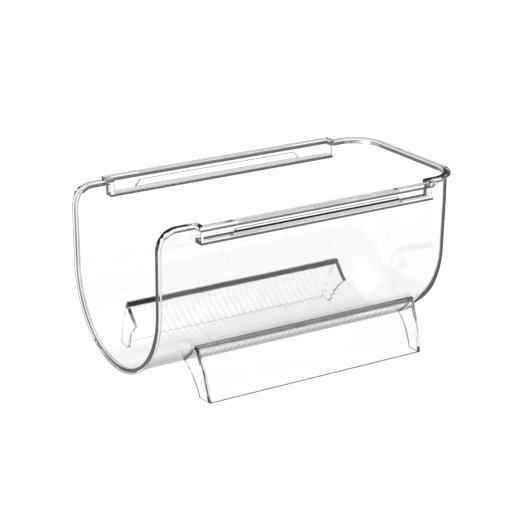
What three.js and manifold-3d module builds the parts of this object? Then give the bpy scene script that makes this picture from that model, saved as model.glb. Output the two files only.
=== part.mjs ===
// Stackable bottle holder: a clear trough, open at one end, on two feet, with a stacking channel
// along each top edge. One moulding in use; here each functional member is its own closed body.
// Millimetres, +Z up, the open end faces -Y, the origin lies under the middle on the resting plane.
import * as THREE from 'three';
import { mergeVertices } from 'three/addons/utils/BufferGeometryUtils.js';
import Module from 'manifold-3d';

const wasm = await Module();
wasm.setup();

// ---- driving dimensions -------------------------------------------------------------------
const WALL = 2.0;
const FRONT_Y = -105.0;            // face of the open end
const BACK_IN_Y = 101.1;           // inner face of the closed end at the rim
const TOP_Z = 108.1;
const FLOOR_Z = 12.2;              // lowest line of the inner floor
const TROUGH_R = 47.8;             // inner radius of the rounded floor
const TOP_HALF_W = 48.2;           // inner half width above the drafted part of the walls
const DRAFT_TOP_Z = 92.0;
const SWEEP_R = 22.8;              // floor to closed end
const CORNER_R = 18.0;             // closed-end corners seen from above
const SOFT_MIN_POWER = 4;
const MOUTH_CORNER_R = 13.0;       // top front corners of the side walls

const LIP_H = 2.3;
const LIP_SIDE = 1.6;              // how far the lip stands out from the wall, sides
const LIP_BACK = 1.9;
const LIP_FLOOR = 1.1;
const MOUTH_LIP_D = 2.0;

const CHANNEL_Y0 = -78.2;          // clear length of the stacking channels
const CHANNEL_Y1 = 76.8;
const CHANNEL_STEP = 6.4;          // outward step of the wall above the ledge
const LEDGE_TOP_Z = 98.9;
const SLOT_TOP_Z = 102.9;
const SLOT_TOP_Y = [-57.2, 53.0];
const SLOT_FOOT_Y = [-60.7, 56.3];

const FOOT_RIDGE = [42.9, 31.6];   // x, z of the ridge where the outer plate leaves the trough
const FOOT_OUT_X = 54.2;           // outer edge of the foot on the resting plane
const FOOT_IN_X = 43.3;            // inner edge of the end gusset on the resting plane
const FOOT_HEEL = [29.0, 19.3];    // x, z where the gusset's free edge meets the trough
const FOOT_Y0 = -75.9;
const FOOT_Y1 = 76.5;
const FOOT_TAPER = 0.055;          // the feet get shorter going down, mm per mm at each end
const FOOT_BULGE = 0.9;
const FOOT_ROOT = [42.35, 28.1];   // x, z where the plate's inner face turns in to the trough
const FOOT_SEAT = [38.2, 29.0];    // a point inside the trough that it turns towards
const GUSSET_T = 2.0;
const GUSSET_BOW = 2.2;            // hollow of the gusset's free edge
const GUSSET_BOW_WAY = [0.6, 0.8]; // the way the hollow goes in, x and z
const GUSSET_TOE = 2.0;            // the front gussets' inner edge stands forward by this

const RIB_PITCH = 4.4;
const RIB_COUNT = 32;
const RIB_H = 0.5;
const RIB_BASE = 0.25;
const RIB_HALF_ANGLE = 0.9;

const ARC_STEPS = 12;
const CORNER_STEPS = 8;
const FOOT_STEPS = 6;
const CLEARANCE = 5;               // how far the cutting blocks run past the part
const MERGE_TOL = 1e-4;
const TINY = 1e-9;

const TINT = 0xf4f6f7;             // clear, colourless plastic
const ROUGHNESS = 0.06;
const OPACITY = 0.3;

const SPRING_Z = FLOOR_Z + TROUGH_R;
const LEDGE_BOTTOM_Z = LEDGE_TOP_Z - WALL;
const SWEEP_Y = CHANNEL_Y1;        // the floor starts to sweep up here
const WALL_OUT_X = TOP_HALF_W + WALL;
const WEB_IN_X = TOP_HALF_W + CHANNEL_STEP;
const WEB_OUT_X = WEB_IN_X + WALL;

// ---- helpers ------------------------------------------------------------------------------
const group = new THREE.Group();
group.name = 'bottle_holder';

function addMesh(name, geometry) {
  const material = new THREE.MeshStandardMaterial({
    color: TINT,
    roughness: ROUGHNESS,
    metalness: 0,
    transparent: true,
    opacity: OPACITY,
  });
  const flat = geometry.index ? geometry.toNonIndexed() : geometry;
  flat.computeVertexNormals();
  const mesh = new THREE.Mesh(flat, material);
  mesh.name = name;
  group.add(mesh);
}

function toManifold(geometry) {
  const bare = geometry.clone();
  bare.deleteAttribute('normal');
  bare.deleteAttribute('uv');
  const merged = mergeVertices(bare, MERGE_TOL);
  return new wasm.Manifold(new wasm.Mesh({
    numProp: 3,
    vertProperties: new Float32Array(merged.attributes.position.array),
    triVerts: new Uint32Array(merged.index.array),
  }));
}

function toGeometry(manifold) {
  const mesh = manifold.getMesh();
  const positions = new Float32Array(mesh.vertProperties);
  const geometry = new THREE.BufferGeometry();
  geometry.setAttribute('position', new THREE.BufferAttribute(positions, 3));
  geometry.setIndex(new THREE.BufferAttribute(new Uint32Array(mesh.triVerts), 1));
  return geometry;
}

function box(x0, x1, y0, y1, z0, z1) {
  const geometry = new THREE.BoxGeometry(x1 - x0, y1 - y0, z1 - z0);
  geometry.translate((x0 + x1) / 2, (y0 + y1) / 2, (z0 + z1) / 2);
  return geometry;
}

// A closed outline in the YZ plane, with or without a hole, run along X.
function slabX(points, x0, x1, hole = null) {
  const shape = new THREE.Shape(points.map(([y, z]) => new THREE.Vector2(y, z)));
  if (hole) {
    shape.holes.push(new THREE.Path(hole.map(([y, z]) => new THREE.Vector2(y, z))));
  }
  const geometry = new THREE.ExtrudeGeometry(shape, { depth: x1 - x0, bevelEnabled: false });
  geometry.applyMatrix4(new THREE.Matrix4().set(0, 0, 1, x0, 1, 0, 0, 0, 0, 1, 0, 0, 0, 0, 0, 1));
  return geometry;
}

// A closed outline in the XY plane, run up Z.
function slabZ(points, z0, z1) {
  const shape = new THREE.Shape(points.map(([x, y]) => new THREE.Vector2(x, y)));
  const geometry = new THREE.ExtrudeGeometry(shape, { depth: z1 - z0, bevelEnabled: false });
  geometry.translate(0, 0, z0);
  return geometry;
}

// A closed outline in the XZ plane, run along Y; shiftY moves single points for a raked end.
function slabY(points, y0, y1, shiftY = () => 0) {
  const shape = new THREE.Shape(points.map(([x, z]) => new THREE.Vector2(x, z)));
  const geometry = new THREE.ExtrudeGeometry(shape, { depth: y1 - y0, bevelEnabled: false });
  geometry.applyMatrix4(new THREE.Matrix4().set(1, 0, 0, 0, 0, 0, -1, y1, 0, 1, 0, 0, 0, 0, 0, 1));
  const position = geometry.attributes.position;
  for (let i = 0; i < position.count; i += 1) {
    const shift = shiftY(position.getX(i), position.getY(i), position.getZ(i));
    position.setY(i, position.getY(i) + shift);
  }
  return geometry;
}

// Rings of equal length joined into one closed body; each end is capped across its two long sides.
function loft(rings) {
  const count = rings[0].length;
  const index = [];
  for (let i = 0; i + 1 < rings.length; i += 1) {
    for (let j = 0; j < count; j += 1) {
      const next = (j + 1) % count;
      const a = i * count + j;
      const b = i * count + next;
      const c = (i + 1) * count + next;
      const d = (i + 1) * count + j;
      index.push(a, b, c, a, c, d);
    }
  }
  const last = (rings.length - 1) * count;
  for (let j = 0; j + 1 < count / 2; j += 1) {
    const [a, b, c, d] = [j, j + 1, count - 2 - j, count - 1 - j];
    index.push(a, c, b, a, d, c, last + a, last + b, last + c, last + a, last + c, last + d);
  }
  return facingOut(rings.flat(), index);
}

// Indexed points to a geometry whose faces point outward.
function facingOut(points, index) {
  let volume = 0;
  for (let i = 0; i < index.length; i += 3) {
    const [a, b, c] = [0, 1, 2].map((k) => new THREE.Vector3(...points[index[i + k]]));
    volume += a.dot(b.cross(c));
  }
  if (volume < 0) {
    for (let i = 0; i < index.length; i += 3) {
      [index[i], index[i + 1]] = [index[i + 1], index[i]];
    }
  }
  const geometry = new THREE.BufferGeometry();
  geometry.setAttribute('position', new THREE.Float32BufferAttribute(points.flat(), 3));
  geometry.setIndex(index);
  return geometry;
}

function mirrored(points) {
  return points.map(([x, ...rest]) => [-x, ...rest]);
}

function rectangle(a0, a1, b0, b1) {
  return [[a0, b0], [a1, b0], [a1, b1], [a0, b1]];
}

// ---- the trough ---------------------------------------------------------------------------
function softMin(a, b) {
  const blend = (a ** SOFT_MIN_POWER + b ** SOFT_MIN_POWER) ** (1 / SOFT_MIN_POWER);
  return (a * b) / Math.max(blend, TINY);
}

function halfWidth(z, offset) {
  if (z < SPRING_Z) {
    return Math.sqrt(Math.max((TROUGH_R + offset) ** 2 - (SPRING_Z - z) ** 2, 0));
  }
  const rise = Math.min((z - SPRING_Z) / (DRAFT_TOP_Z - SPRING_Z), 1);
  return TROUGH_R + offset + (TOP_HALF_W - TROUGH_R) * rise;
}

function backY(z, offset) {
  const top = FLOOR_Z + SWEEP_R;
  if (z < top) {
    return SWEEP_Y + Math.sqrt(Math.max((SWEEP_R + offset) ** 2 - (top - z) ** 2, 0));
  }
  const lean = (Math.min(z, DRAFT_TOP_Z) - top) / (DRAFT_TOP_Z - top);
  return SWEEP_Y + SWEEP_R + offset + (BACK_IN_Y - SWEEP_Y - SWEEP_R) * lean;
}

// Half of the plan outline at one height, from the open end round to the middle of the back.
function planOutline(z, offset) {
  const half = halfWidth(z, offset);
  const back = backY(z, offset);
  const rx = softMin(half, CORNER_R + offset);
  const ry = softMin(back - SWEEP_Y, CORNER_R + offset);
  const line = [[half, FRONT_Y, z], [half, SWEEP_Y, z]];
  for (let i = 0; i <= CORNER_STEPS; i += 1) {
    const angle = (i / CORNER_STEPS) * (Math.PI / 2);
    line.push([half - rx + rx * Math.cos(angle), back - ry + ry * Math.sin(angle), z]);
  }
  line.push([0, back, z]);
  return line;
}

function troughRows(offset) {
  const rows = [];
  for (let i = 0; i <= ARC_STEPS; i += 1) {
    const angle = (i / ARC_STEPS) * (Math.PI / 2);
    rows.push(planOutline(SPRING_Z - (TROUGH_R + offset) * Math.cos(angle), offset));
  }
  rows.push(planOutline(DRAFT_TOP_Z, offset));
  rows.push(planOutline(TOP_Z, offset));
  return rows;
}

function troughShell() {
  const points = [];
  const index = [];
  const put = (rows) => {
    const start = points.length;
    rows.forEach((row) => points.push(...row));
    return (i, j) => start + i * rows[0].length + j;
  };
  const quad = (a, b, c, d, flip) => {
    index.push(...(flip ? [a, c, b, a, d, c] : [a, b, c, a, c, d]));
  };
  [false, true].forEach((flip) => {
    const side = (offset) => troughRows(offset).map((row) => (flip ? mirrored(row) : row));
    const inner = side(0);
    const outer = side(WALL);
    const last = inner.length - 1;
    const columns = inner[0].length;
    const ia = put(inner);
    const oa = put(outer);
    for (let i = 0; i < last; i += 1) {
      for (let j = 0; j + 1 < columns; j += 1) {
        quad(oa(i, j), oa(i, j + 1), oa(i + 1, j + 1), oa(i + 1, j), flip);
        quad(ia(i, j), ia(i + 1, j), ia(i + 1, j + 1), ia(i, j + 1), flip);
      }
      quad(oa(i, 0), oa(i + 1, 0), ia(i + 1, 0), ia(i, 0), flip);
    }
    for (let j = 0; j + 1 < columns; j += 1) {
      quad(oa(last, j), oa(last, j + 1), ia(last, j + 1), ia(last, j), flip);
    }
  });
  const raw = new THREE.BufferGeometry();
  raw.setAttribute('position', new THREE.Float32BufferAttribute(points.flat(), 3));
  raw.setIndex(index);
  const merged = mergeVertices(raw, MERGE_TOL);
  const kept = [];
  const ids = merged.index.array;
  for (let i = 0; i < ids.length; i += 3) {
    const [a, b, c] = [ids[i], ids[i + 1], ids[i + 2]];
    if (a !== b && b !== c && c !== a) {
      kept.push(a, b, c);
    }
  }
  merged.setIndex(kept);
  return merged;
}

// Outline that takes the square corner off the side walls at the open end.
function mouthArc() {
  const arc = [];
  for (let i = 0; i <= CORNER_STEPS; i += 1) {
    const angle = (i / CORNER_STEPS) * (Math.PI / 2);
    arc.push([
      FRONT_Y + MOUTH_CORNER_R - MOUTH_CORNER_R * Math.sin(angle),
      TOP_Z - MOUTH_CORNER_R + MOUTH_CORNER_R * Math.cos(angle),
    ]);
  }
  return arc;
}

const FAR = WEB_OUT_X + CLEARANCE;
const cornerCut = slabX(
  [
    ...mouthArc(),
    [FRONT_Y - CLEARANCE, TOP_Z - MOUTH_CORNER_R],
    [FRONT_Y - CLEARANCE, TOP_Z + CLEARANCE],
    [FRONT_Y + MOUTH_CORNER_R, TOP_Z + CLEARANCE],
  ],
  -FAR,
  FAR,
);
const channelCut = box(-FAR, FAR, CHANNEL_Y0, CHANNEL_Y1, LEDGE_BOTTOM_Z, TOP_Z + CLEARANCE);
const shell = toManifold(troughShell())
  .subtract(toManifold(cornerCut))
  .subtract(toManifold(channelCut));

function shellInside(...bounds) {
  return toGeometry(shell.intersect(toManifold(box(...bounds))));
}

const BELOW = -CLEARANCE;
const ABOVE = TOP_Z + CLEARANCE;
const BEFORE = FRONT_Y - CLEARANCE;
const BEHIND = BACK_IN_Y + WALL + CLEARANCE;
addMesh('floor_cradle', shellInside(-FAR, FAR, BEFORE, SWEEP_Y, BELOW, SPRING_Z));
addMesh('side_wall_left', shellInside(-FAR, 0, BEFORE, SWEEP_Y, SPRING_Z, ABOVE));
addMesh('side_wall_right', shellInside(0, FAR, BEFORE, SWEEP_Y, SPRING_Z, ABOVE));
addMesh('closed_end', shellInside(-FAR, FAR, SWEEP_Y, BEHIND, BELOW, ABOVE));

// ---- lip of the open end ------------------------------------------------------------------
// Each station: a point on the wall's outer face, the way out and the way in along the wall.
function mouthStations() {
  const half = [];
  const tabY = CHANNEL_Y0 - WALL - LIP_SIDE;
  half.push({ at: [WALL_OUT_X, tabY, TOP_Z], out: [1, 0, 0], into: [0, 0, -LIP_H], wide: LIP_SIDE });
  mouthArc().forEach(([y, z], i) => {
    const angle = (i / CORNER_STEPS) * (Math.PI / 2);
    const depth = LIP_H + (MOUTH_LIP_D - LIP_H) * (i / CORNER_STEPS);
    const into = [0, depth * Math.sin(angle), -depth * Math.cos(angle)];
    half.push({ at: [WALL_OUT_X, y, z], out: [1, 0, 0], into, wide: LIP_SIDE });
  });
  const into = [0, MOUTH_LIP_D, 0];
  half.push({ at: [WALL_OUT_X, FRONT_Y, DRAFT_TOP_Z], out: [1, 0, 0], into, wide: LIP_SIDE });
  for (let i = ARC_STEPS; i >= 0; i -= 1) {
    const angle = (i / ARC_STEPS) * (Math.PI / 2);
    const out = [Math.sin(angle), 0, -Math.cos(angle)];
    const reach = TROUGH_R + WALL;
    const at = [reach * out[0], FRONT_Y, SPRING_Z + reach * out[2]];
    const wide = LIP_FLOOR + (LIP_SIDE - LIP_FLOOR) * Math.sin(angle);
    half.push({ at, out, into, wide });
  }
  const other = half.slice(0, -1).reverse().map(({ at, out, into: way, wide }) => ({
    at: [-at[0], at[1], at[2]], out: [-out[0], out[1], out[2]], into: way, wide,
  }));
  return [...half, ...other];
}

const plus = (a, b, scale = 1) => a.map((value, k) => value + b[k] * scale);
const mouthRings = mouthStations().map(({ at, out, into, wide }) => [
  at,
  plus(at, out, wide),
  plus(plus(at, out, wide), into),
  plus(at, into),
]);
addMesh('open_end_lip', loft(mouthRings));

// ---- lip of the closed end ----------------------------------------------------------------
const REAR_TAB_Y = CHANNEL_Y1 + WALL + LIP_SIDE;
function rearLipRings() {
  const inner = planOutline(TOP_Z, WALL).slice(2);
  const outer = planOutline(TOP_Z, WALL + LIP_BACK).slice(2);
  const half = inner.map(([x, y], i) => {
    const toBack = Math.min(i / CORNER_STEPS, 1);
    const reach = (LIP_SIDE + (LIP_BACK - LIP_SIDE) * toBack) / LIP_BACK;
    return [[x, y], [x + (outer[i][0] - x) * reach, y + (outer[i][1] - y) * reach]];
  });
  half.unshift([[WALL_OUT_X, REAR_TAB_Y], [WALL_OUT_X + LIP_SIDE, REAR_TAB_Y]]);
  const other = half.slice(0, -1).reverse().map((pair) => mirrored(pair));
  return [...half, ...other].map(([a, b]) => [
    [...a, TOP_Z], [...b, TOP_Z], [...b, TOP_Z - LIP_H], [...a, TOP_Z - LIP_H],
  ]);
}
addMesh('rear_rim_lip', loft(rearLipRings()));

// ---- stacking channels --------------------------------------------------------------------
const outY0 = CHANNEL_Y0 - WALL;
const outY1 = CHANNEL_Y1 + WALL;
const railX = WEB_OUT_X + LIP_SIDE;

// The web and the returns stand on the outside of the ledge, so nothing overhangs its top face.
const ledgePlan = rectangle(TOP_HALF_W, WEB_IN_X, CHANNEL_Y0, CHANNEL_Y1);
const webSide = rectangle(CHANNEL_Y0, CHANNEL_Y1, LEDGE_BOTTOM_Z, TOP_Z);
const slot = [
  [SLOT_FOOT_Y[0], LEDGE_TOP_Z],
  [SLOT_FOOT_Y[1], LEDGE_TOP_Z],
  [SLOT_TOP_Y[1], SLOT_TOP_Z],
  [SLOT_TOP_Y[0], SLOT_TOP_Z],
];
const railLipPlan = [
  [WALL_OUT_X, outY0 - LIP_SIDE],
  [railX, outY0 - LIP_SIDE],
  [railX, outY1 + LIP_SIDE],
  [WALL_OUT_X, outY1 + LIP_SIDE],
  [WALL_OUT_X, outY1],
  [WEB_OUT_X, outY1],
  [WEB_OUT_X, outY0],
  [WALL_OUT_X, outY0],
];

[['left', -1], ['right', 1]].forEach(([side, sign]) => {
  const plan = (points) => (sign < 0 ? mirrored(points) : points);
  const ending = (y0, y1) => plan(rectangle(WALL_OUT_X, WEB_OUT_X, y0, y1));
  const [x0, x1] = sign > 0 ? [WEB_IN_X, WEB_OUT_X] : [-WEB_OUT_X, -WEB_IN_X];
  addMesh(`channel_ledge_${side}`, slabZ(plan(ledgePlan), LEDGE_BOTTOM_Z, LEDGE_TOP_Z));
  addMesh(`slotted_web_${side}`, slabX(webSide, x0, x1, slot));
  addMesh(`front_return_${side}`, slabZ(ending(outY0, CHANNEL_Y0), LEDGE_BOTTOM_Z, TOP_Z));
  addMesh(`rear_return_${side}`, slabZ(ending(CHANNEL_Y1, outY1), LEDGE_BOTTOM_Z, TOP_Z));
  addMesh(`rail_lip_${side}`, slabZ(plan(railLipPlan), TOP_Z - LIP_H, TOP_Z));
});

// ---- feet ---------------------------------------------------------------------------------
// The outer plate bows outward a little between the ridge and the resting plane.
function footCurve(offset, steps) {
  const [rx, rz] = FOOT_RIDGE;
  const run = FOOT_OUT_X - rx;
  const length = Math.hypot(run, rz);
  const normal = [rz / length, run / length];
  const curve = [];
  for (let i = 0; i <= steps; i += 1) {
    const t = i / steps;
    const bulge = 4 * FOOT_BULGE * t * (1 - t) - offset;
    curve.push([rx + run * t + normal[0] * bulge, rz * (1 - t) + normal[1] * bulge]);
  }
  return curve;
}

const outerCurve = footCurve(0, FOOT_STEPS);
const innerCurve = footCurve(WALL, FOOT_STEPS);
const footEndX = (curve) => {
  const [a, b] = curve.slice(-2);
  return b[0] + ((b[0] - a[0]) * (0 - b[1])) / (b[1] - a[1]);
};
const innerRun = innerCurve.filter(([, z]) => z > 0 && z < FOOT_ROOT[1]).reverse();
const innerFace = [[footEndX(innerCurve), 0], ...innerRun, FOOT_ROOT, FOOT_SEAT];
const PLATE_ROOT = [FOOT_RIDGE[0] - 2 * WALL, FOOT_RIDGE[1]];
const plateOutline = [...outerCurve, ...innerFace, PLATE_ROOT];

function gussetOutline() {
  const free = [];
  for (let i = 0; i <= FOOT_STEPS; i += 1) {
    const t = i / FOOT_STEPS;
    const bow = 4 * GUSSET_BOW * t * (1 - t);
    const x = FOOT_HEEL[0] + (FOOT_IN_X - FOOT_HEEL[0]) * t;
    const z = FOOT_HEEL[1] * (1 - t);
    free.push([x + bow * GUSSET_BOW_WAY[0], z + bow * GUSSET_BOW_WAY[1]]);
  }
  const root = [FOOT_HEEL[0] - WALL, FOOT_HEEL[1] + 2 * WALL];
  return [root, ...free, ...innerFace];
}

const halfSection = troughRows(WALL).map(([[x, , z]]) => [x, z]);
const section = [...halfSection, ...mirrored(halfSection).reverse().slice(0, -1)];
const core = toManifold(slabY(section, FRONT_Y - CLEARANCE, SWEEP_Y + CLEARANCE));
const taper = (z) => FOOT_TAPER * (FOOT_RIDGE[1] - z);
const toe = (x) => (GUSSET_TOE * (FOOT_OUT_X - x)) / (FOOT_OUT_X - FOOT_HEEL[0]);
const rakeEnds = (x, y, z) => (y < 0 ? taper(z) : -taper(z));
const rakeFront = (x, y, z) => taper(z) - toe(x);
const rakeRear = (x, y, z) => -taper(z);

[['left', -1], ['right', 1]].forEach(([side, sign]) => {
  const outline = (points) => (sign < 0 ? mirrored(points) : points);
  const rake = (way) => (x, y, z) => way(Math.abs(x), y, z);
  const cut = (geometry) => toGeometry(toManifold(geometry).subtract(core));
  const plate = slabY(outline(plateOutline), FOOT_Y0, FOOT_Y1, rake(rakeEnds));
  const front = slabY(outline(gussetOutline()), FOOT_Y0, FOOT_Y0 + GUSSET_T, rake(rakeFront));
  const rear = slabY(outline(gussetOutline()), FOOT_Y1 - GUSSET_T, FOOT_Y1, rake(rakeRear));
  addMesh(`foot_plate_${side}`, cut(plate));
  addMesh(`foot_gusset_front_${side}`, cut(front));
  addMesh(`foot_gusset_rear_${side}`, cut(rear));
});

// ---- ribbed band on the floor -------------------------------------------------------------
function ribRings() {
  const rings = [];
  const first = -(RIB_COUNT * RIB_PITCH) / 2;
  const stepAngle = (Math.PI / 2) / ARC_STEPS;
  const reach = Math.round(RIB_HALF_ANGLE / stepAngle);
  for (let i = 0; i <= 2 * RIB_COUNT; i += 1) {
    const y = first + (i * RIB_PITCH) / 2;
    const height = RIB_BASE + (i % 2) * RIB_H;
    const ring = [];
    for (let j = -reach; j <= reach; j += 1) {
      const angle = j * stepAngle;
      ring.push([TROUGH_R * Math.sin(angle), y, SPRING_Z - TROUGH_R * Math.cos(angle)]);
    }
    for (let j = reach; j >= -reach; j -= 1) {
      const angle = j * stepAngle;
      const radius = TROUGH_R - height;
      ring.push([radius * Math.sin(angle), y, SPRING_Z - radius * Math.cos(angle)]);
    }
    rings.push(ring);
  }
  return rings;
}
addMesh('floor_ribs', loft(ribRings()));

export default group;
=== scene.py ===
"""A clear, stackable bottle holder: a trough open at one end, on two hollow feet.

The trough, its rolled rims, its stacking channels and its ribbed floor are one seamless skin, as the
moulding is. The feet's plates and gussets are pieces of their own, set a hair off the trough.
The right half (x > 0) is described, and the left half mirrors it.
Lengths are in millimetres and become metres where a mesh is made.
"""
import math

import bmesh
import bpy
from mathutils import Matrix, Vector


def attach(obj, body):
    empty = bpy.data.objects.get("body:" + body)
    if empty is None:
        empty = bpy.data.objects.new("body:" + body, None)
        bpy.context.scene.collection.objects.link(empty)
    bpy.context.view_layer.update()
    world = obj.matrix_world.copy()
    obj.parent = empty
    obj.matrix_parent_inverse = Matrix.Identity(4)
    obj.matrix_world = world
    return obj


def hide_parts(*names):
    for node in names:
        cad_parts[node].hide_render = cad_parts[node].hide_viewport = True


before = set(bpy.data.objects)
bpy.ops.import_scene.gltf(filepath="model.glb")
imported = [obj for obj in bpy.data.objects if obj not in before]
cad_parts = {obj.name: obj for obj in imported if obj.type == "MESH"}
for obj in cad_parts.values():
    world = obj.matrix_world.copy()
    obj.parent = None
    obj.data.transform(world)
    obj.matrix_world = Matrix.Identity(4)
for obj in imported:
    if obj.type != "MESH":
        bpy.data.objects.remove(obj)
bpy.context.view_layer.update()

MM = 0.001

# ---- dimensions, in the CAD frame ----------------------------------------------------------
# The trough. y runs from the open end to the closed one.
WALL = 2.0
FRONT_Y = -105.0
BACK_IN_Y = 101.1                  # inner face of the closed end, at its top
TOP_Z = 108.1
FLOOR_Z = 12.2                     # lowest line of the inner face
TROUGH_R = 47.8
SPRING_Z = FLOOR_Z + TROUGH_R      # the rounded floor ends and the straight walls begin
TOP_HALF_W = 48.2                  # the walls lean out to this half width
DRAFT_TOP_Z = 92.0                 # and stand upright from here
CORNER_R = 18.0                    # upright corners of the closed end
SWEEP_R = 22.8                     # sweep from the floor up to the closed end
MOUTH_CORNER_R = 13.0              # top corners of the open end
MOUTH_CORNER_REACH = 24.0          # the grid is drawn together over this length beside them

# The lip round the rims: its height, its underside and how far it stands out.
LIP_EDGE = 1.7                     # height of its outer face, with a slope from there
LIP_ROOT = 3.5                     # down to the wall this far under the top
LIP_CLEAR_SHARE = 0.45             # outer share of the slope that is clear, without the painted shade of its root
LIP_SIDE = 1.6
LIP_BACK = 1.9
LIP_CORNER = 0.5                   # further out, half-way round a back corner
LIP_FLOOR = 1.1
MOUTH_EDGE = 1.3                   # the same two lengths for the lip round the open end
MOUTH_ROOT = 3.0

# The stacking channels, with a slot in each web.
CHANNEL_Y = (-78.2, 76.8)
CHANNEL_STEP = 6.4
LEDGE_TOP_Z = 98.9
LEDGE_BOTTOM_Z = LEDGE_TOP_Z - WALL
SLOT_TOP_Z = 102.9
SLOT_TOP_Y = (-57.2, 53.0)
SLOT_FOOT_Y = (-60.7, 56.3)
SLOT_SPREAD = 12.0                 # the columns this near a slot's end slide with it
SWEEP_Y = CHANNEL_Y[1]

# The feet, as (x, z) points of the right one.
FOOT_RIDGE = (42.9, 31.6)          # the plate meets the trough
FOOT_OUT_X = 54.2
FOOT_IN_X = 43.3
FOOT_HEEL = (29.0, 19.3)           # the gusset meets the trough
FOOT_Y = (-75.9, 76.5)
FOOT_TAPER = 0.055
FOOT_BULGE = 1.5
FOOT_ROOT = (42.35, 28.1)          # the plate's inner face turns in to the trough here
FOOT_SEAT = (38.2, 29.0)           # and heads for this point behind the trough's skin
ROOT_START = 0.4                   # share of that way at which the turn starts
ROOT_DROP = 1.8                    # the turn is over this far below the root
PLATE_STOP_Z = 0.3                 # the curve's last point above the resting plane is above this
GUSSET_T = 2.0
GUSSET_BOW = (1.32, 1.76)          # how far its free edge bows out, in x and z
GUSSET_TOE = 2.0                   # the front one's heel stands this much further forward
HEEL_AIM = (-2.0, 2.0)             # from the heel to a point behind the trough's skin
SEAT_CLEAR = 0.2                   # the free edge's own points stay this far off the trough
SEAT_GAP = 0.02
SEAT_R = TROUGH_R + WALL + SEAT_GAP

# The ribs across the floor.
RIB_PITCH = 4.4
RIB_COUNT = 32
RIB_RUN = RIB_COUNT * RIB_PITCH / 2
RIB_H = 0.17
RIB_HALF_ANGLE = 0.9               # they end this far up the curve, from straight down,
RIB_FADE = 0.25                    # and fade out over this angle
RIB_MIDDLE = 0.3                   # share of their height along the middle of the floor,
RIB_RISE = (0.38, 0.22)            # which rises to the full height from this angle, over the next

# Rounding radii of the edges, and how near a feature an edge has to be to get its radius.
ROUND_TIGHT = 0.1
ROUND_RIM = 0.2
ROUND_MOUTH = 0.7
ROUND_FOOT = 0.3
ROUND_FOOT_CORNER = 1.3
NEAR_SLOT = 0.5
NEAR_SLOT_END = 1.0
NEAR_MOUTH = (0.5, 1.0)            # from the open end, and out from the inner face
MOUTH_FACES = (0.9, 0.9)           # the same for its rounded faces
NEAR_SEAT = 0.15
NEAR_FLOOR = 0.2
NEAR_PLATE = 1.2
NEAR_OUTSIDE = 1.5
FOOT_ENDS_FROM_Y = 60.0            # the foot's ends lie beyond this, on both sides of the middle
PLATES_FROM_X = 41.0               # and its plate beyond this

# Steps of the curves.
ARC_STEPS = 36
CORNER_STEPS = 18
BACK_STEPS = 6
RIB_STEPS = 6
FOOT_STEPS = 14
ROOT_STEPS = 5
PLATE_SEAT_STEPS = 6
GUSSET_SEAT_STEPS = 10


def clamped(value):
    return min(max(value, 0.0), 1.0)


# ---- materials -----------------------------------------------------------------------------
# Noise, as scale per metre and detail.
MOTTLE = (90.0, 4.0)
HAZE = (60.0, 5.0)
RIPPLE = (28.0, 1.5)


def noise(tree, vector, scale, detail):
    node = tree.nodes.new("ShaderNodeTexNoise")
    node.inputs["Scale"].default_value = scale
    node.inputs["Detail"].default_value = detail
    tree.links.new(vector, node.inputs["Vector"])
    return node.outputs["Fac"]


def mapped(tree, value, source, target):
    node = tree.nodes.new("ShaderNodeMapRange")
    node.inputs["From Min"].default_value, node.inputs["From Max"].default_value = source
    node.inputs["To Min"].default_value, node.inputs["To Max"].default_value = target
    tree.links.new(value, node.inputs["Value"])
    return node.outputs["Result"]


def times(tree, colour, factor):
    """The colour scaled by a factor that varies over the surface."""
    node = tree.nodes.new("ShaderNodeVectorMath")
    node.operation = "SCALE"
    tree.links.new(colour, node.inputs[0])
    tree.links.new(factor, node.inputs["Scale"])
    return node.outputs["Vector"]


def skin_shade(tree, place, start, end, least):
    """A painted shade, as a factor for the tint: least up to start mm from the trough's outer skin, and 1
    from end mm on.
    """
    flat = tree.nodes.new("ShaderNodeVectorMath")
    flat.operation = "MULTIPLY_ADD"
    flat.inputs[1].default_value = (1, 0, 1)
    flat.inputs[2].default_value = (0, 0, -SPRING_Z * MM)
    radius = tree.nodes.new("ShaderNodeVectorMath")
    radius.operation = "LENGTH"
    tree.links.new(place, flat.inputs[0])
    tree.links.new(flat.outputs["Vector"], radius.inputs[0])
    skin = (TROUGH_R + WALL) * MM
    return mapped(tree, radius.outputs["Value"], (skin + start * MM, skin + end * MM), (least, 1.0))


def root_shade(tree, place):
    """Painted shade where the plate of a foot meets the trough."""
    return skin_shade(tree, place, 1.2, 2.9, 0.25)


def gusset_shade(tree, place):
    """A narrow line of painted shade where a gusset meets the trough."""
    return skin_shade(tree, place, 0.5, 1.5, 0.06)


def rib_shade(tree, place):
    """A little painted shade between the floor ribs. At scale 1 the wave's bands are 2 pi / 20 m apart.
    """
    wave = tree.nodes.new("ShaderNodeTexWave")
    wave.bands_direction = "Y"
    wave.inputs["Scale"].default_value = 2 * math.pi / (20 * RIB_PITCH * MM)
    wave.inputs["Distortion"].default_value = 0.6
    wave.inputs["Detail"].default_value = 1.0
    tree.links.new(place, wave.inputs["Vector"])
    return mapped(tree, wave.outputs["Fac"], (0.2, 0.9), (0.93, 1.0))


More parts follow.
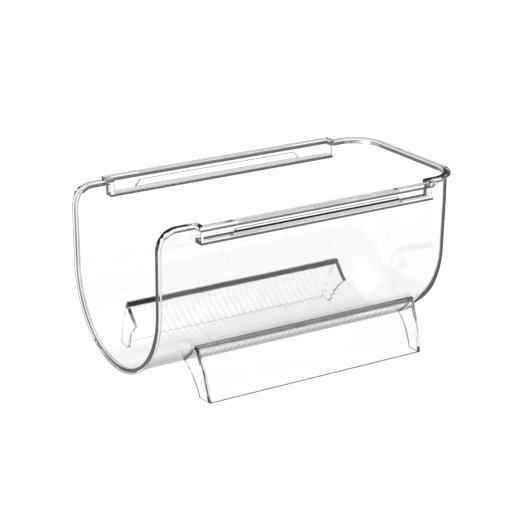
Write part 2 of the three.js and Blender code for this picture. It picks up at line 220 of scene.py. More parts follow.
def add_side_on_shade(tree, shader, share, onset):
    """Painted shade: turns the surface dark, by up to the share, where it is seen along itself."""
    facing = tree.nodes.new("ShaderNodeLayerWeight")
    facing.inputs["Blend"].default_value = 0.5
    shade = tree.nodes.new("ShaderNodeBsdfPrincipled")
    shade.inputs["Base Color"].default_value = (0.06, 0.062, 0.064, 1)
    shade.inputs["Roughness"].default_value = 0.4
    shade.inputs["Specular IOR Level"].default_value = 0.0
    mix = tree.nodes.new("ShaderNodeMixShader")
    tree.links.new(mapped(tree, facing.outputs["Facing"], onset, (0.0, share)), mix.inputs[0])
    tree.links.new(shader.outputs["BSDF"], mix.inputs[1])
    tree.links.new(shade.outputs["BSDF"], mix.inputs[2])
    tree.links.new(mix.outputs["Shader"], tree.nodes["Material Output"].inputs["Surface"])


def clear_plastic(name, seed, tints, side_on=0.0, onset=(0.7, 0.86), pattern=None):
    """Clear moulded plastic with a mottled tint, a faint haze and a ripple.

    tints are the darkest and lightest tint. side_on is how far a painted shade turns it dark where it is
    seen along its surface, over the onset range of the facing value. pattern is a further painted shade
    over the tint.
    """
    mat = bpy.data.materials.new(name)
    mat.use_nodes = True
    tree = mat.node_tree
    nodes, links = tree.nodes, tree.links
    shader = nodes["Principled BSDF"]
    shader.inputs["IOR"].default_value = 1.5
    shader.inputs["Transmission Weight"].default_value = 1.0
    coords = nodes.new("ShaderNodeTexCoord")
    place = nodes.new("ShaderNodeMapping")
    place.inputs["Location"].default_value = (seed, seed * 0.7, seed * 1.3)
    links.new(coords.outputs["Object"], place.inputs["Vector"])
    here = place.outputs["Vector"]

    tint = nodes.new("ShaderNodeValToRGB")
    for element, at, value in zip(tint.color_ramp.elements, (0.34, 0.66), tints):
        element.position = at
        element.color = (value * 0.995, value * 0.998, value, 1)
    links.new(noise(tree, here, *MOTTLE), tint.inputs["Fac"])
    colour = tint.outputs["Color"]
    if pattern:
        colour = times(tree, colour, pattern(tree, coords.outputs["Object"]))
    links.new(colour, shader.inputs["Base Color"])
    haze = mapped(tree, noise(tree, here, *HAZE), (0.35, 0.75), (0.004, 0.03))
    links.new(haze, shader.inputs["Roughness"])
    bump = nodes.new("ShaderNodeBump")
    bump.inputs["Strength"].default_value = 0.25
    bump.inputs["Distance"].default_value = 0.0004
    links.new(noise(tree, here, *RIPPLE), bump.inputs["Height"])
    links.new(bump.outputs["Normal"], shader.inputs["Normal"])
    if side_on:
        add_side_on_shade(tree, shader, side_on, onset)
    return mat


# Material slots of every piece, in this order:
# CLEAR      outer walls, ledges, flat rims, and the slot's floor and top, with a painted side-on shade
# EDGE       rounded edges of the trough and the gussets, tinted dark as a painted shade
# CREASE_SHADE  painted shade at the root of the lip's underside, and on the slot's ends
# INNER      inner walls
# CURVED     outside of the closed end's corners, with a strong painted side-on shade
# UNDER      the trough's rounded underside, with a painted side-on shade
# FOOT       the plates' faces and the gussets' narrow ones, with a painted shade near the trough
# RIBBED     the ribbed floor, with a painted shade between the ribs
# RAIL       the lip's outer face beside a slot, tinted dark as a painted shade
# FOOT_EDGE  rounded edges of the plates, tinted dark as a painted shade, darker still near the trough
# MOUTH      inside edge of the open end, near black, a painted shade
# SEAT       where a foot faces the trough, tinted dark as a painted shade
# GUSSET     the gussets' broad faces, with a narrow painted shade where they meet the trough
CLEAR, EDGE, CREASE_SHADE, INNER, CURVED, UNDER, FOOT, RIBBED, RAIL, FOOT_EDGE, MOUTH, SEAT, GUSSET = range(13)
PLASTICS = [
    clear_plastic("clear_wall", 0.3, (0.92, 0.945), side_on=0.5),
    clear_plastic("clear_edge_painted_shade", 1.1, (0.38, 0.56)),
    clear_plastic("clear_crease_shade", 1.9, (0.15, 0.33)),
    clear_plastic("clear_inside", 2.7, (0.92, 0.945)),
    clear_plastic("clear_curve", 3.1, (0.92, 0.945), side_on=0.93, onset=(0.52, 0.62)),
    clear_plastic("clear_underside", 3.5, (0.89, 0.925), side_on=0.42, onset=(0.55, 0.72)),
    clear_plastic("clear_foot", 3.9, (0.975, 0.995), pattern=root_shade),
    clear_plastic("clear_ribbed", 4.3, (0.89, 0.925), pattern=rib_shade),
    clear_plastic("clear_rail_painted_shade", 4.9, (0.34, 0.48)),
    clear_plastic("clear_foot_edge_painted_shade", 5.3, (0.5, 0.68), pattern=root_shade),
    clear_plastic("clear_mouth_painted_shade", 5.9, (0.04, 0.1)),
    clear_plastic("clear_seat_painted_shade", 6.1, (0.16, 0.34)),
    clear_plastic("clear_gusset", 6.7, (0.975, 0.995), pattern=gusset_shade),
]


# ---- shape of the trough's skins -----------------------------------------------------------
# Each skin is a grid. Its rows climb from the middle of the floor to the top, and its columns run from
# the open end along the side, round the corner and to the middle of the closed end.
ROWS = [("arc", math.pi / 2 * i / ARC_STEPS) for i in range(ARC_STEPS + 1)]
ROWS += [("z", z) for z in (66.0, 72.0, 78.0, 84.0, 88.0, DRAFT_TOP_Z)]
ROWS += [("z", z) for z in (LEDGE_BOTTOM_Z, LEDGE_TOP_Z, SLOT_TOP_Z, TOP_Z - LIP_ROOT, TOP_Z)]
ROW_WALL = ARC_STEPS + 1
ROW_TOP = len(ROWS) - 1
ROW_LIP = ROW_TOP - 1
ROW_SLOT = ROW_TOP - 2
ROW_LEDGE_TOP = ROW_TOP - 3
ROW_LEDGE_BOTTOM = ROW_TOP - 4

COLUMN_Y = [FRONT_Y, FRONT_Y + MOUTH_ROOT]
COL_LIP = 1
COLUMN_Y += [-100.4, -98.5, -96.0, -93.0, -90.0, -87.0, -84.0]      # close together round the mouth
COL_CHANNEL_0 = len(COLUMN_Y)
COLUMN_Y += [CHANNEL_Y[0], -74.0]
COLUMN_Y += [-RIB_RUN + i * RIB_PITCH / RIB_STEPS for i in range(RIB_COUNT * RIB_STEPS + 1)]
COLUMN_Y += [73.5, CHANNEL_Y[1]]
COL_CHANNEL_1 = len(COLUMN_Y) - 1
COL_CORNER = len(COLUMN_Y)
COLUMNS = COL_CORNER + CORNER_STEPS + 1 + BACK_STEPS
COL_SLOT = [min(range(COL_CORNER), key=lambda j: abs(COLUMN_Y[j] - y)) for y in SLOT_TOP_Y]


def row_angle(i):
    """How far up the rounded floor a row is, from straight down. A wall's rows are at a right angle."""
    kind, value = ROWS[i]
    return value if kind == "arc" else math.pi / 2


def soft_min(a, b):
    """Nearly the smaller of two lengths, with a smooth change-over."""
    return a * b / max((a ** 4 + b ** 4) ** 0.25, 1e-9)


def half_width(z, offset):
    """Half width inside the skin that lies this far out from the inner face."""
    if z < SPRING_Z:
        return math.sqrt(max((TROUGH_R + offset) ** 2 - (SPRING_Z - z) ** 2, 0.0))
    rise = min((z - SPRING_Z) / (DRAFT_TOP_Z - SPRING_Z), 1.0)
    return TROUGH_R + offset + (TOP_HALF_W - TROUGH_R) * rise


def back_y(z, offset):
    """Where the closed end's skin stands at this height."""
    top = FLOOR_Z + SWEEP_R
    if z < top:
        return SWEEP_Y + math.sqrt(max((SWEEP_R + offset) ** 2 - (top - z) ** 2, 0.0))
    lean = (min(z, DRAFT_TOP_Z) - top) / (DRAFT_TOP_Z - top)
    return SWEEP_Y + SWEEP_R + offset + (BACK_IN_Y - SWEEP_Y - SWEEP_R) * lean


def round_mouth_corner(y, z):
    """Moves a grid point of a side wall so that the square top front corner becomes an arc."""
    from_front, from_top = y - FRONT_Y, TOP_Z - z
    inset = min(from_front, from_top)
    radius = MOUTH_CORNER_R - inset
    along = max(from_front, from_top) - inset
    side = MOUTH_CORNER_REACH - inset
    if radius <= 0 or along >= side:
        return y, z
    arc = radius * math.pi / 4
    run = along / side * (arc + side - radius)
    if run < arc:
        angle = math.pi / 4 + run / radius
        new_along = radius - radius * math.cos(angle)
        depth = radius - radius * math.sin(angle)
    else:
        new_along = radius + run - arc
        depth = 0.0
    if from_front >= from_top:
        return FRONT_Y + inset + new_along, TOP_Z - inset - depth
    return FRONT_Y + inset + depth, TOP_Z - inset - new_along


def rib_height(y, angle):
    """Height of the fine floor ribs. They fade out towards the ends and up the curve."""
    along = clamped((RIB_RUN - abs(y)) / (2 * RIB_PITCH))
    up = clamped((RIB_HALF_ANGLE - angle) / RIB_FADE)
    rise_from, rise_over = RIB_RISE
    up *= RIB_MIDDLE + (1 - RIB_MIDDLE) * clamped((angle - rise_from) / rise_over)
    wave = 0.5 - 0.5 * math.cos(2 * math.pi * (y + RIB_RUN) / RIB_PITCH)
    return RIB_H * wave * along * up


def slot_shift(y, i):
    """Slides the columns about each end of the slot so that one of them follows the slanted end."""
    shift = 0.0
    for column, top, foot in zip(COL_SLOT, SLOT_TOP_Y, SLOT_FOOT_Y):
        target = top if i >= ROW_SLOT else foot
        near = max(1 - abs(y - COLUMN_Y[column]) / SLOT_SPREAD, 0.0)
        shift += (target - COLUMN_Y[column]) * near
    return shift


def side_point(i, j, offset):
    """Grid point of the straight part of the trough."""
    kind, value = ROWS[i]
    y = COLUMN_Y[j]
    z = SPRING_Z - (TROUGH_R + offset) * math.cos(value) if kind == "arc" else value
    if i >= ROW_LEDGE_BOTTOM and j == COL_CHANNEL_0:
        y -= offset
    if i >= ROW_LEDGE_BOTTOM and j == COL_CHANNEL_1:
        y += offset
    if i >= ROW_WALL:
        y += slot_shift(y, i)
    y, z = round_mouth_corner(y, z)
    if kind == "arc" and offset == 0.0:
        radius = TROUGH_R - rib_height(y, value)
        return [radius * math.sin(value), y, SPRING_Z - radius * math.cos(value)]
    return [half_width(z, offset), y, z]


def end_point(i, j, offset):
    """Grid point of the closed end and its rounded corner."""
    kind, value = ROWS[i]
    z = SPRING_Z - (TROUGH_R + offset) * math.cos(value) if kind == "arc" else value
    half = half_width(z, offset)
    back = back_y(z, offset)
    rx = soft_min(half, CORNER_R + offset)
    ry = soft_min(back - SWEEP_Y, CORNER_R + offset)
    k = j - COL_CORNER
    if k <= CORNER_STEPS:
        turn = k / CORNER_STEPS * math.pi / 2
        return [half - rx + rx * math.cos(turn), back - ry + ry * math.sin(turn), z]
    flat = (k - CORNER_STEPS) / BACK_STEPS
    return [(half - rx) * (1 - flat), back, z]


def skin_point(i, j, offset):
    """Wall point of row i, column j on the skin this far out from the inner face."""
    return side_point(i, j, offset) if j < COL_CORNER else end_point(i, j, offset)


def lip_shift(i, j):
    """The way and distance the rim lip stands out from the outer skin."""
    if j < COL_CORNER:
        angle = row_angle(i)
        wide = LIP_FLOOR + (LIP_SIDE - LIP_FLOOR) * math.sin(angle)
        return [wide * math.sin(angle), 0.0, -wide * math.cos(angle)]
    k = min((j - COL_CORNER) / CORNER_STEPS, 1.0)
    turn = k * math.pi / 2
    wide = LIP_SIDE + (LIP_BACK - LIP_SIDE) * k + LIP_CORNER * math.sin(2 * turn) ** 2
    return [wide * math.cos(turn), wide * math.sin(turn), 0.0]


def in_slot(i, j):
    """Whether a cell is cut out by the slot."""
    return ROW_LEDGE_TOP <= i < ROW_SLOT and COL_SLOT[0] <= j < COL_SLOT[1]


def on_rim(i, j):
    """Whether a cell of the outer skin is on the lip."""
    return i >= ROW_LIP or j < COL_LIP


# ---- faces of the trough -------------------------------------------------------------------
class Skin:
    """Vertices of one skin of half the trough, made when first asked for.

    A grid point has up to four copies: in the wall or stepped out in the channel, with or without the
    lip. offset is 0 for the inner skin, and sign is -1 for the mirrored half.
    """

    def __init__(self, bm, offset, sign):
        self.bm = bm
        self.offset = offset
        self.outer = offset > 0
        self.sign = sign
        self.made = {}

    def in_channel(self, i, j):
        lowest = ROW_LEDGE_BOTTOM if self.outer else ROW_LEDGE_TOP
        return i >= lowest and COL_CHANNEL_0 <= j < COL_CHANNEL_1

    def corner(self, cell, i, j):
        """The vertex at grid point (i, j) as the face of this cell sees it."""
        stepped = self.in_channel(*cell)
        lip = self.outer and on_rim(*cell)
        key = (i, j, stepped, lip)
        if key not in self.made:
            x, y, z = self.place(i, j, stepped, lip)
            self.made[key] = self.bm.verts.new((self.sign * x * MM, y * MM, z * MM))
        return self.made[key]

    def place(self, i, j, stepped, lip):
        x, y, z = skin_point(i, j, self.offset)
        if lip:
            dx, dy, dz = lip_shift(i, j)
            if i == ROW_LIP:
                z += LIP_ROOT - LIP_EDGE
            if j == COL_LIP:
                y -= MOUTH_ROOT - MOUTH_EDGE
            if j == COL_CHANNEL_0:
                dy -= LIP_SIDE
            if j == COL_CHANNEL_1:
                dy += LIP_SIDE
            x, y, z = x + dx, y + dy, z + dz
        if stepped:
            x += CHANNEL_STEP
        return x, y, z


class TroughHalf:
    """The faces of one half of the trough. sign is -1 for the mirrored half."""

    def __init__(self, bm, sign):
        self.bm = bm
        self.sign = sign
        self.inner = Skin(bm, 0.0, sign)
        self.outer = Skin(bm, WALL, sign)
        self.midpoints = {}

    def build(self):
        for skin in (self.inner, self.outer):
            self.add_cells(skin)
        for skin in (self.inner, self.outer):
            self.add_steps(skin)
        self.add_notch_undersides()
        self.add_rim()
        self.add_slot()

    def add(self, ring, slot=CLEAR):
        """Adds a face, with repeated vertices left out."""
        ring = list(dict.fromkeys(ring))
        if len(ring) > 2:
            made = self.bm.faces.new(ring if self.sign > 0 else ring[::-1])
            made.material_index = slot

    def slot_of(self, skin, i, j):
        """The material slot of a cell."""
        if skin is self.inner:
            ribbed = row_angle(i) < RIB_HALF_ANGLE and COL_CHANNEL_0 < j < COL_CHANNEL_1
            return RIBBED if ribbed else INNER
        if i == ROW_LIP and COL_SLOT[0] <= j < COL_SLOT[1]:
            return RAIL
        if COL_CORNER <= j < COL_CORNER + CORNER_STEPS:
            return CURVED
        return UNDER if i < ARC_STEPS else CLEAR

    def add_cells(self, skin):
        for i in range(ROW_TOP):
            for j in range(COLUMNS - 1):
                if in_slot(i, j):
                    continue
                points = [(i, j), (i, j + 1), (i + 1, j + 1), (i + 1, j)]
                ring = [skin.corner((i, j), *point) for point in points]
                self.add(ring if skin.outer else ring[::-1], self.slot_of(skin, i, j))

    def add_steps(self, skin):
        """Steps inside one skin: the ledge, the channel's ends and the underside of the lip."""
        for i in range(ROW_TOP):
            for j in range(COLUMNS - 1):
                if i + 1 < ROW_TOP and not (in_slot(i, j) and in_slot(i + 1, j)):
                    self.add_step(skin, (i, j), (i + 1, j), (i + 1, j + 1), (i + 1, j))
                if j + 1 < COLUMNS - 1:
                    self.add_step(skin, (i, j), (i, j + 1), (i, j + 1), (i + 1, j + 1))

    def add_step(self, skin, a_cell, b_cell, p, q):
        """The face between two neighbouring cells along their edge from p to q, if they don't meet."""
        a = [skin.corner(a_cell, *p), skin.corner(a_cell, *q)]
        b = [skin.corner(b_cell, *p), skin.corner(b_cell, *q)]
        if a == b:
            return
        if skin is self.inner or on_rim(*a_cell) == on_rim(*b_cell):
            ring = [a[0], a[1], b[1], b[0]]
            self.add(ring if skin.outer else ring[::-1])
        elif on_rim(*a_cell):
            self.add_underside(a, b, turned=False)
        else:
            self.add_underside(b, a, turned=True)

    def add_underside(self, lips, walls, turned):
        """The slope from the lip to the wall, clear outside, with a painted shade at its root."""
        middles = [self.halfway(*pair) for pair in zip(lips, walls)]
        outside = [lips[0], lips[1], middles[1], middles[0]]
        root = [middles[0], middles[1], walls[1], walls[0]]
        self.add(outside[::-1] if turned else outside)
        self.add(root[::-1] if turned else root, CREASE_SHADE)

    def halfway(self, lip, wall):
        """The vertex that parts the clear outside of the lip's underside from its root of painted shade.
        """
        key = (lip, wall)
        if key not in self.midpoints:
            self.midpoints[key] = self.bm.verts.new(lip.co.lerp(wall.co, LIP_CLEAR_SHARE))
        return self.midpoints[key]

    def add_notch_undersides(self):
        """The lip's underside on the end walls of the channel."""
        for j, beside, inside in ((COL_CHANNEL_0, COL_CHANNEL_0 - 1, COL_CHANNEL_0),
                                  (COL_CHANNEL_1, COL_CHANNEL_1, COL_CHANNEL_1 - 1)):
            lips = [self.outer.corner((ROW_LIP, c), ROW_LIP, j) for c in (beside, inside)]
            walls = [self.outer.corner((ROW_LIP - 1, c), ROW_LIP, j) for c in (beside, inside)]
            self.add_underside(lips, walls, turned=False)

    def add_bridge(self, cell, p, q, turned=False, slot=CLEAR):
        """The face between the two skins along a cell's edge from p to q."""
        ring = [self.outer.corner(cell, *p), self.outer.corner(cell, *q),
                self.inner.corner(cell, *q), self.inner.corner(cell, *p)]
        self.add(ring[::-1] if turned else ring, slot)

    def add_rim(self):
        """The top of the walls, the front of the open end and the top of the channel's end walls."""
        for j in range(COLUMNS - 1):
            self.add_bridge((ROW_TOP - 1, j), (ROW_TOP, j), (ROW_TOP, j + 1))
        for i in range(ROW_TOP):
            self.add_bridge((i, 0), (i, 0), (i + 1, 0))
        for j, wall, web in ((COL_CHANNEL_0, COL_CHANNEL_0 - 1, COL_CHANNEL_0),
                             (COL_CHANNEL_1, COL_CHANNEL_1, COL_CHANNEL_1 - 1)):
            wall_cell, web_cell = (ROW_TOP - 1, wall), (ROW_TOP - 1, web)
            ring = [self.outer.corner(wall_cell, ROW_TOP, j), self.outer.corner(web_cell, ROW_TOP, j),
                    self.inner.corner(web_cell, ROW_TOP, j), self.inner.corner(wall_cell, ROW_TOP, j)]
            self.add(ring if j == COL_CHANNEL_0 else ring[::-1])

    def add_slot(self):
        """The slot's floor, top and slanted ends."""
        first, last = COL_SLOT
        for j in range(first, last):
            self.add_bridge((ROW_LEDGE_TOP, j), (ROW_LEDGE_TOP, j), (ROW_LEDGE_TOP, j + 1))
            self.add_bridge((ROW_SLOT, j), (ROW_SLOT, j + 1), (ROW_SLOT, j))
        for j, beside, turned in ((first, first - 1, False), (last, last, True)):
            # The slot's ends take the painted crease shade.
            self.add_bridge((ROW_LEDGE_TOP, beside), (ROW_LEDGE_TOP, j), (ROW_SLOT, j), turned, CREASE_SHADE)


# ---- from cage to finished mesh ------------------------------------------------------------
JOIN_CAGE = 1e-6                   # metres
JOIN_ROUNDED = 5e-6
BEVEL_STEPS = 3
BEVEL_FROM = math.radians(38)
SHARP_FROM = math.radians(50)


def clean(bm, reach):
    """Joins what is closer than the reach, in metres, and turns the faces outward."""
    bmesh.ops.remove_doubles(bm, verts=bm.verts[:], dist=reach)
    bmesh.ops.dissolve_degenerate(bm, edges=bm.edges[:], dist=reach)
    bmesh.ops.recalc_face_normals(bm, faces=bm.faces[:])


def apply_modifiers(ob):
    """Gives the object the mesh that its modifiers make, and no modifiers."""
    depsgraph = bpy.context.evaluated_depsgraph_get()
    made = bpy.data.meshes.new_from_object(ob.evaluated_get(depsgraph))
    ob.modifiers.clear()
    ob.data = made


def round_edges(ob, edge_slot):
    """Rounds each edge by its weight, which is a radius in millimetres."""
    bevel = ob.modifiers.new("round", "BEVEL")
    bevel.limit_method = "WEIGHT"
    bevel.width = MM
    bevel.segments = BEVEL_STEPS
    bevel.use_clamp_overlap = False
    bevel.miter_outer = "MITER_SHARP"
    # The rounded faces take the edge slot, whose dark tint is a painted shade.
    bevel.material = edge_slot
    apply_modifiers(ob)
    rounded = bmesh.new()
    rounded.from_mesh(ob.data)
    clean(rounded, JOIN_ROUNDED)
    rounded.to_mesh(ob.data)
    rounded.free()


def shade_smooth(ob):
    """Smooth shading that keeps the flat faces flat."""
    for polygon in ob.data.polygons:
        polygon.use_smooth = True
    ob.data.set_sharp_from_angle(angle=SHARP_FROM)
    normal = ob.modifiers.new("flat faces", "WEIGHTED_NORMAL")
    normal.mode = "FACE_AREA"
    normal.weight = 80
    normal.keep_sharp = True
    bpy.context.view_layer.update()
    apply_modifiers(ob)


def finished(bm, name, radius_of, edge_slot=EDGE):
    """Turns a cage into an object with rounded edges. radius_of gives an edge's radius in millimetres."""
    clean(bm, JOIN_CAGE)
    weights = bm.edges.layers.float.new("bevel_weight_edge")
    for edge in bm.edges:
        if len(edge.link_faces) == 2 and edge.calc_face_angle() > BEVEL_FROM:
            middle = (edge.verts[0].co + edge.verts[1].co) / (2 * MM)
            edge[weights] = radius_of(middle, edge)
    mesh = bpy.data.meshes.new(name)
    bm.to_mesh(mesh)
    bm.free()
    for material in PLASTICS:
        mesh.materials.append(material)
    ob = bpy.data.objects.new(name, mesh)
    bpy.context.scene.collection.objects.link(ob)
    round_edges(ob, edge_slot)
    shade_smooth(ob)
    ob.data.name = name
    return ob


# ---- the trough ----------------------------------------------------------------------------
def inside_mouth(point, depth, margin):
    """Whether a point is this near the open end and this near the inner face."""
    near_skin = math.hypot(point.x, min(point.z - SPRING_Z, 0.0)) < TROUGH_R + margin
    return point.y < FRONT_Y + depth and near_skin


def trough_radius(middle, edge):
    """Widest round the inside of the open end, and tight in hollows and round the slots."""
    along_slot = SLOT_FOOT_Y[0] - NEAR_SLOT_END < middle.y < SLOT_FOOT_Y[1] + NEAR_SLOT_END
    beside_slot = LEDGE_TOP_Z - NEAR_SLOT < middle.z < SLOT_TOP_Z + NEAR_SLOT
    on_web = abs(middle.x) > TOP_HALF_W + CHANNEL_STEP - NEAR_SLOT
    if not edge.is_convex or (along_slot and beside_slot and on_web):
        return ROUND_TIGHT
    return ROUND_MOUTH if inside_mouth(middle, *NEAR_MOUTH) else ROUND_RIM


def make_trough():
    bm = bmesh.new()
    for sign in (1, -1):
        TroughHalf(bm, sign).build()
    ob = finished(bm, "trough_body", trough_radius)
    # The rounded faces inside the open end take the near-black painted shade of the mouth slot.
    for polygon in ob.data.polygons:
        if polygon.material_index == EDGE and inside_mouth(polygon.center / MM, *MOUTH_FACES):
            polygon.material_index = MOUTH
    return ob


# ---- the feet ------------------------------------------------------------------------------
def foot_curve(offset):
    """The plate's bulging outer face, or a curve this far inside it, from the ridge down."""
    rx, rz = FOOT_RIDGE
    run = FOOT_OUT_X - rx
    length = math.hypot(run, rz)
    nx, nz = rz / length, run / length
    curve = []
    for i in range(FOOT_STEPS + 1):
        t = i / FOOT_STEPS
        bulge = 4 * FOOT_BULGE * t * (1 - t) - offset
        curve.append((rx + run * t + nx * bulge, rz * (1 - t) + nz * bulge))
    return curve


def from_axis(x, z):
    return math.hypot(x, SPRING_Z - z)


def on_seat(a, b):
    """Where the line from a to b crosses the trough's outer skin."""
    low, high = 0.0, 1.0
    for _ in range(40):
        mid = (low + high) / 2
        x, z = a[0] + (b[0] - a[0]) * mid, a[1] + (b[1] - a[1]) * mid
        if from_axis(x, z) > SEAT_R:
            low = mid
        else:
            high = mid
    return x, z


def seat_arc(a, b, steps):
    """Points along the trough's outer skin from a to b, ends left out."""
    first = math.atan2(a[0], SPRING_Z - a[1])
    last = math.atan2(b[0], SPRING_Z - b[1])
    angles = [first + (last - first) * i / steps for i in range(1, steps)]
    return [(SEAT_R * math.sin(angle), SPRING_Z - SEAT_R * math.cos(angle)) for angle in angles]


def inner_plate_curve(extra):
    """The plate's inner face, or a curve extra mm inside it.

    It leaves the trough, turns at the root and runs down to the resting plane.
    """
    curve = foot_curve(WALL + extra)
    root = (FOOT_ROOT[0] - extra, FOOT_ROOT[1] - extra)
    start = tuple(r + (s - r) * ROOT_START for r, s in zip(root, FOOT_SEAT))
    below = [p for p in curve if PLATE_STOP_Z < p[1] < FOOT_ROOT[1] - ROOT_DROP]
    turn = []
    for i in range(ROOT_STEPS + 1):
        t = i / ROOT_STEPS
        a, b, c = (1 - t) ** 2, 2 * t * (1 - t), t * t
        turn.append(tuple(a * p + b * q + c * r for p, q, r in zip(start, root, below[0])))
    (xa, za), (xb, zb) = curve[-2:]
    foot = (xb + (xb - xa) * (0 - zb) / (zb - za), 0.0)
    return [on_seat(start, FOOT_SEAT), *turn, *below[1:], foot]


OUTER_CURVE = foot_curve(0.0)
INNER_CURVE = inner_plate_curve(0.0)
GUSSET_SIDE = inner_plate_curve(SEAT_GAP)


def taper(z):
    """How much further in an end of the foot is at this height than at the ridge's height."""
    return FOOT_TAPER * (FOOT_RIDGE[1] - z)


def toe(x):
    """How much further forward the front gusset stands at this x than at the foot's outer face."""
    return GUSSET_TOE * (FOOT_OUT_X - x) / (FOOT_OUT_X - FOOT_HEEL[0])


def prism(outline, y_low, y_high, sign, cap_slot):
    """A closed solid between two ends, each given as a function of x and z."""
    bm = bmesh.new()
    near = [bm.verts.new((sign * x * MM, y_low(x, z) * MM, z * MM)) for x, z in outline]
    far = [bm.verts.new((sign * x * MM, y_high(x, z) * MM, z * MM)) for x, z in outline]
    for cap in (near, far[::-1]):
        bm.faces.new(cap).material_index = cap_slot
    for k in range(len(outline)):
        n = (k + 1) % len(outline)
        side = bm.faces.new((near[k], far[k], far[n], near[n]))
        # Faces against the trough take the seat slot's dark tint, a painted shade.
        seated = all(abs(from_axis(*outline[m]) - SEAT_R) < 1e-3 for m in (k, n))
        side.material_index = SEAT if seated else FOOT
    return bm


def near_seat(middle):
    return abs(from_axis(middle.x, middle.z) - SEAT_R) < NEAR_SEAT


def gap_to(curve, middle):
    return min(math.hypot(abs(middle.x) - x, middle.z - z) for x, z in curve)


def plate_radius(middle, edge):
    """Widest at the upright outer corners, and none at the seat."""
    if near_seat(middle):
        return 0.0
    upright = NEAR_FLOOR < middle.z < FOOT_RIDGE[1] - NEAR_FLOOR and abs(middle.y) > FOOT_ENDS_FROM_Y
    return ROUND_FOOT_CORNER if upright and gap_to(OUTER_CURVE, middle) < NEAR_OUTSIDE else ROUND_FOOT


def gusset_radius(middle, edge):
    """None where the gusset meets the trough, the plate or the resting plane."""
    beside_plate = gap_to(GUSSET_SIDE, middle) < NEAR_PLATE and abs(middle.x) > PLATES_FROM_X
    return 0.0 if near_seat(middle) or middle.z < NEAR_FLOOR or beside_plate else ROUND_FOOT


def make_plate(name, sign):
    top = (math.sqrt(SEAT_R ** 2 - (SPRING_Z - FOOT_RIDGE[1]) ** 2), FOOT_RIDGE[1])
    seat = seat_arc(INNER_CURVE[0], top, PLATE_SEAT_STEPS)
    outline = [top, *OUTER_CURVE, *INNER_CURVE[::-1], *seat]

    def front(x, z):
        return FOOT_Y[0] + taper(z)

    def rear(x, z):
        return FOOT_Y[1] - taper(z)

    return finished(prism(outline, front, rear, sign, FOOT), name, plate_radius, FOOT_EDGE)


def gusset_outline():
    """The gusset's bowed free edge, the plate's inner face and the trough's skin."""
    free = []
    for i in range(FOOT_STEPS + 1):
        t = i / FOOT_STEPS
        bow = 4 * t * (1 - t)
        x = FOOT_HEEL[0] + (FOOT_IN_X - FOOT_HEEL[0]) * t
        free.append((x + bow * GUSSET_BOW[0], FOOT_HEEL[1] * (1 - t) + bow * GUSSET_BOW[1]))
    heel = on_seat(free[1], (free[0][0] + HEEL_AIM[0], free[0][1] + HEEL_AIM[1]))
    outside = [p for p in free if from_axis(*p) > SEAT_R + SEAT_CLEAR]
    return [heel, *outside, *GUSSET_SIDE[::-1], *seat_arc(GUSSET_SIDE[0], heel, GUSSET_SEAT_STEPS)]


def make_gusset(name, sign, end):
    def front(x, z):
        return FOOT_Y[0] + taper(z) - toe(x)

    def front_inside(x, z):
        return front(x, z) + GUSSET_T

    def rear(x, z):
        return FOOT_Y[1] - taper(z)

    def rear_inside(x, z):
        return rear(x, z) - GUSSET_T

    low, high = (front, front_inside) if end == "front" else (rear_inside, rear)
    return finished(prism(gusset_outline(), low, high, sign, GUSSET), name, gusset_radius)


# ---- build ---------------------------------------------------------------------------------
def hand_in(piece, *nodes):
    """Tells the frame which nodes a piece shows, which body it rides."""
    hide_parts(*nodes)
    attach(piece, "root")


TROUGH_NODES = ["floor_cradle", "side_wall_left", "side_wall_right", "closed_end", "open_end_lip",
                "rear_rim_lip", "floor_ribs"]
for side in ("left", "right"):
    TROUGH_NODES += [f"channel_ledge_{side}", f"slotted_web_{side}", f"front_return_{side}",
                     f"rear_return_{side}", f"rail_lip_{side}"]
hand_in(make_trough(), *TROUGH_NODES)

for side, sign in (("left", -1), ("right", 1)):
    plate_node = f"foot_plate_{side}"
    hand_in(make_plate(plate_node + "_moulded", sign), plate_node)
    for end in ("front", "rear"):
        gusset_node = f"foot_gusset_{end}_{side}"
        hand_in(make_gusset(gusset_node + "_moulded", sign, end), gusset_node)


# ---- stage, light and camera ---------------------------------------------------------------
FLOOR_HALF = 6.0                   # metres
FLOOR_DROP = 0.0002                # below the feet, so that the two don't touch
# Brightness of the studio by the height of the view direction, from level (0) to straight up (1).
STUDIO = ((0.0, 1.1), (0.03, 0.2), (0.12, 0.2), (0.3, 0.12), (0.62, 0.12), (0.75, 0.5), (1.0, 0.5))
CAMERA_AT = (0.9146, -0.57845, 0.43515)
CAMERA_AZIMUTH = math.radians(57.834)
CAMERA_ELEVATION = math.radians(19.409)
CAMERA_LENS = 129.43


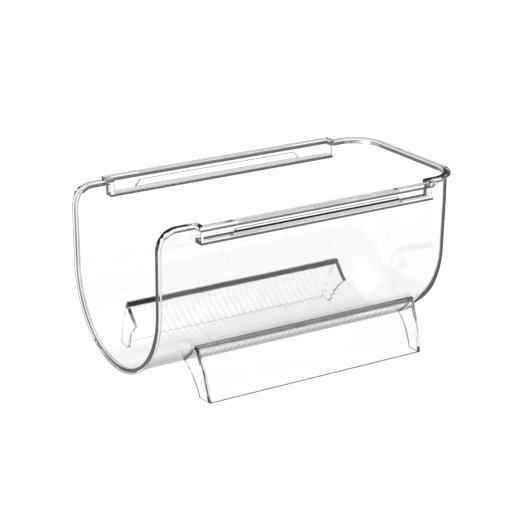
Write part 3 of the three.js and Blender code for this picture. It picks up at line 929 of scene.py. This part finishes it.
def make_floor():
    bm = bmesh.new()
    bmesh.ops.create_grid(bm, x_segments=2, y_segments=2, size=FLOOR_HALF)
    mesh = bpy.data.meshes.new("floor")
    bm.to_mesh(mesh)
    bm.free()
    floor = bpy.data.objects.new("floor", mesh)
    floor.location = (0, 0, -FLOOR_DROP)
    bpy.context.scene.collection.objects.link(floor)
    mat = bpy.data.materials.new("pale_floor")
    mat.use_nodes = True
    shader = mat.node_tree.nodes["Principled BSDF"]
    shader.inputs["Base Color"].default_value = (0.25, 0.25, 0.25, 1)
    shader.inputs["Roughness"].default_value = 1.0
    shader.inputs["Specular IOR Level"].default_value = 0.0
    shader.inputs["Emission Color"].default_value = (1, 1, 1, 1)
    shader.inputs["Emission Strength"].default_value = 0.98
    mesh.materials.append(mat)


def make_studio():
    """A soft grey room, brightest overhead and level with the floor."""
    world = bpy.data.worlds.new("studio")
    bpy.context.scene.world = world
    world.use_nodes = True
    nodes, links = world.node_tree.nodes, world.node_tree.links
    background = nodes["Background"]
    background.inputs["Strength"].default_value = 1.0
    direction = nodes.new("ShaderNodeTexCoord")
    split = nodes.new("ShaderNodeSeparateXYZ")
    ramp = nodes.new("ShaderNodeValToRGB")
    links.new(direction.outputs["Generated"], split.inputs["Vector"])
    links.new(split.outputs["Z"], ramp.inputs["Fac"])
    links.new(ramp.outputs["Color"], background.inputs["Color"])
    elements = ramp.color_ramp.elements
    elements.remove(elements[1])
    elements[0].position = STUDIO[0][0]
    for position, _ in STUDIO[1:]:
        elements.new(position)
    for element, (_, value) in zip(elements, STUDIO):
        element.color = (value, value, value, 1)


def make_overhead():
    data = bpy.data.lights.new("overhead", "AREA")
    data.shape = "RECTANGLE"
    data.size = data.size_y = 1.4
    data.energy = 12.0
    light = bpy.data.objects.new("overhead", data)
    light.location = (0.0, 0.1, 1.6)
    aim = Vector((0, 0, 0.05))
    light.rotation_mode = "QUATERNION"
    light.rotation_quaternion = (light.location - aim).to_track_quat("Z", "Y")
    bpy.context.scene.collection.objects.link(light)


def make_camera():
    data = bpy.data.cameras.new("camera")
    data.sensor_width = 36.0
    data.lens = CAMERA_LENS
    data.clip_start = 0.01
    data.clip_end = 50.0
    camera = bpy.data.objects.new("camera", data)
    camera.location = CAMERA_AT
    flat = math.cos(CAMERA_ELEVATION)
    back = Vector((math.sin(CAMERA_AZIMUTH) * flat, -math.cos(CAMERA_AZIMUTH) * flat,
                   math.sin(CAMERA_ELEVATION)))
    camera.rotation_mode = "QUATERNION"
    camera.rotation_quaternion = (-back).to_track_quat("-Z", "Y")
    bpy.context.scene.collection.objects.link(camera)
    bpy.context.scene.camera = camera
    bpy.context.scene.view_settings.view_transform = "Standard"


make_floor()
make_studio()
make_overhead()
make_camera()
